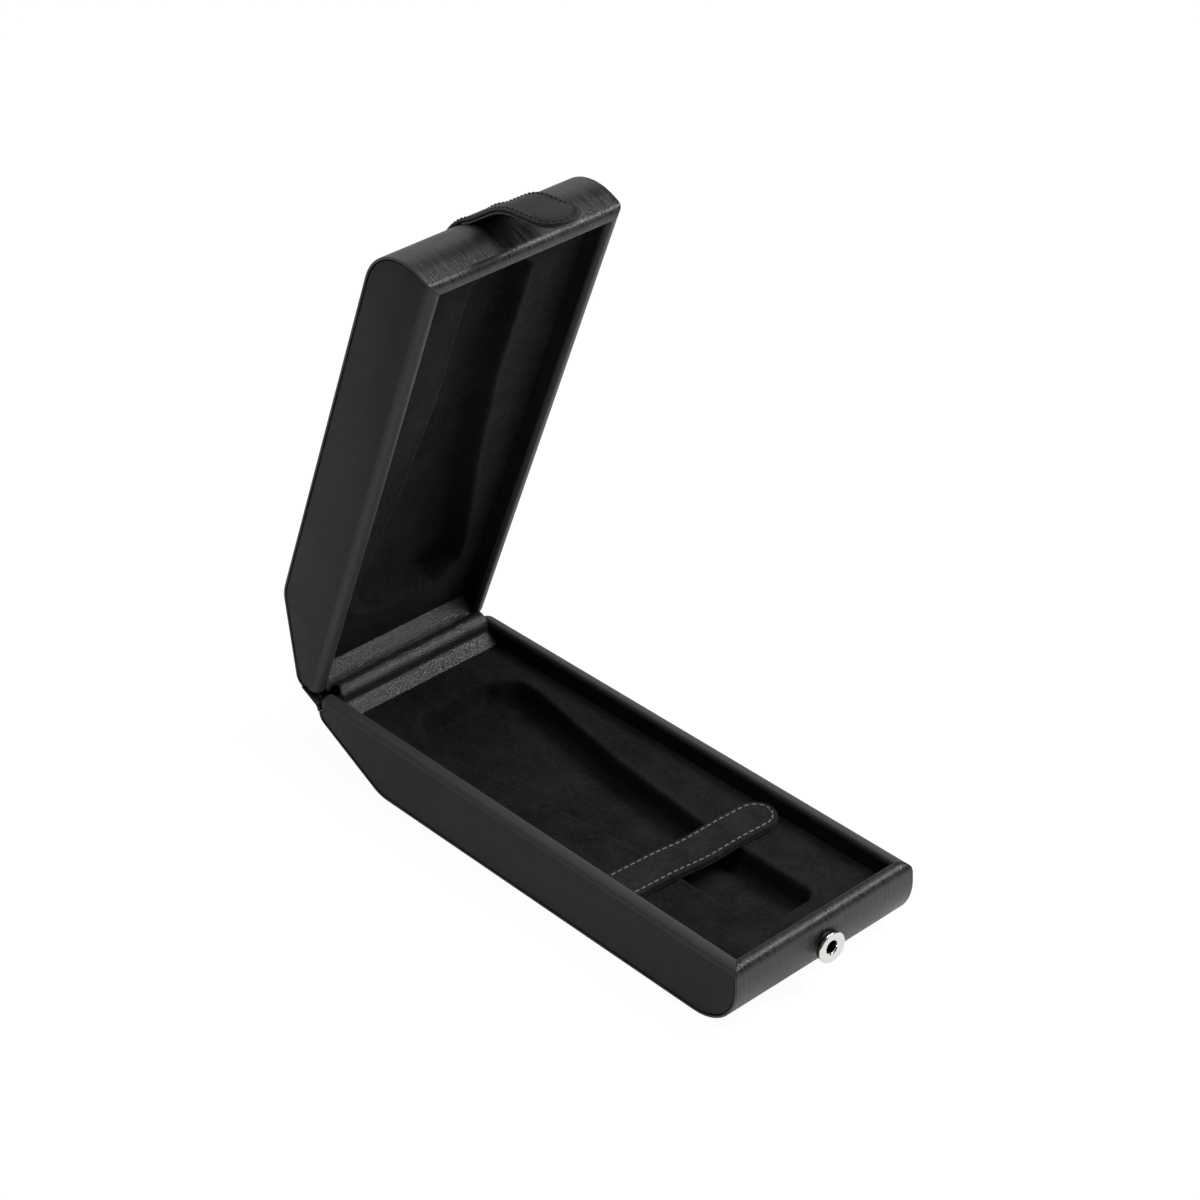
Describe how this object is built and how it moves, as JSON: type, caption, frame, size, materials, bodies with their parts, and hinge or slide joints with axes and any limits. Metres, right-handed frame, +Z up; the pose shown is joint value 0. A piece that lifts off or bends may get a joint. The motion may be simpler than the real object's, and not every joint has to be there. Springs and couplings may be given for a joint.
{
  "type": "watch display case",
  "caption": "Hinged leather case for one watch: two padded trays with watch-shaped recesses, leather hinge, strap and closing tab with a press stud.",
  "frame": {"origin": "on the flat underside of the base tray, half way along the closed case and half way across it", "axes": "+Z up from the surface the case stands on; -Y towards the front wall with the press stud, +Y towards the leather hinge; X across the case"},
  "size_m": [0.08, 0.2407, 0.2434],
  "materials": {
    "outer_leather": "black leather with a fine pressed line grain, satin",
    "panel_leather": "smooth charcoal leather, matte",
    "hinge_leather": "soft dark grey leather, satin",
    "lining_suede": "near-black microsuede",
    "strap_suede": "dark suede with pale stitching",
    "nickel": "polished nickel",
    "greyboard": "stiff board inside the walls, hidden",
    "foam": "firm foam under the suede, hidden"
  },
  "bodies": {
    "base": {"base_flap": "hinge_leather", "base_floor_board": "greyboard", "base_foam": "foam", "base_front_board": "greyboard", "base_left_board": "greyboard", "base_left_panel": "panel_leather", "base_nose_board": "greyboard", "base_outer_leather": "outer_leather", "base_right_board": "greyboard", "base_right_panel": "panel_leather", "base_rim": "outer_leather", "base_slope_board": "greyboard", "base_suede": "lining_suede", "base_wall_lining": "lining_suede", "front_stud": "nickel", "hinge_roll": "hinge_leather", "spine_leather": "outer_leather"},
    "lid": {"lid_flap": "hinge_leather", "lid_floor_board": "greyboard", "lid_foam": "foam", "lid_front_board": "greyboard", "lid_left_board": "greyboard", "lid_left_panel": "panel_leather", "lid_nose_board": "greyboard", "lid_outer_leather": "outer_leather", "lid_right_board": "greyboard", "lid_right_panel": "panel_leather", "lid_rim": "outer_leather", "lid_slope_board": "greyboard", "lid_suede": "lining_suede", "lid_wall_lining": "lining_suede", "tab_root": "outer_leather"},
    "tab": {"tab_leather": "outer_leather", "tab_lining": "hinge_leather", "tab_snap_cap": "outer_leather", "tab_snap_post": "nickel"},
    "strap": {"strap_lining": "strap_suede", "strap_suede": "strap_suede"}
  },
  "joints": [
    {"name": "lid_hinge", "type": "hinge", "parent": "base", "child": "lid", "pos_m": [0, 0.1096, 0.025], "axis": [-1, 0, 0], "range_deg": [-63.7, 46], "deforming": ["spine_leather", "hinge_roll"]},
    {"name": "tab_fold", "type": "hinge", "parent": "lid", "child": "tab", "pos_m": [0, 0.03507, 0.23291], "axis": [-1, 0, 0], "range_deg": [-27.5, 75]},
    {"name": "strap_lift", "type": "hinge", "parent": "base", "child": "strap", "pos_m": [-0.03388, -0.047, 0.0223], "axis": [-0.0593, -0.9982, 0], "range_deg": [0, 150], "deforming": ["strap_lining", "strap_suede"]}
  ]
}
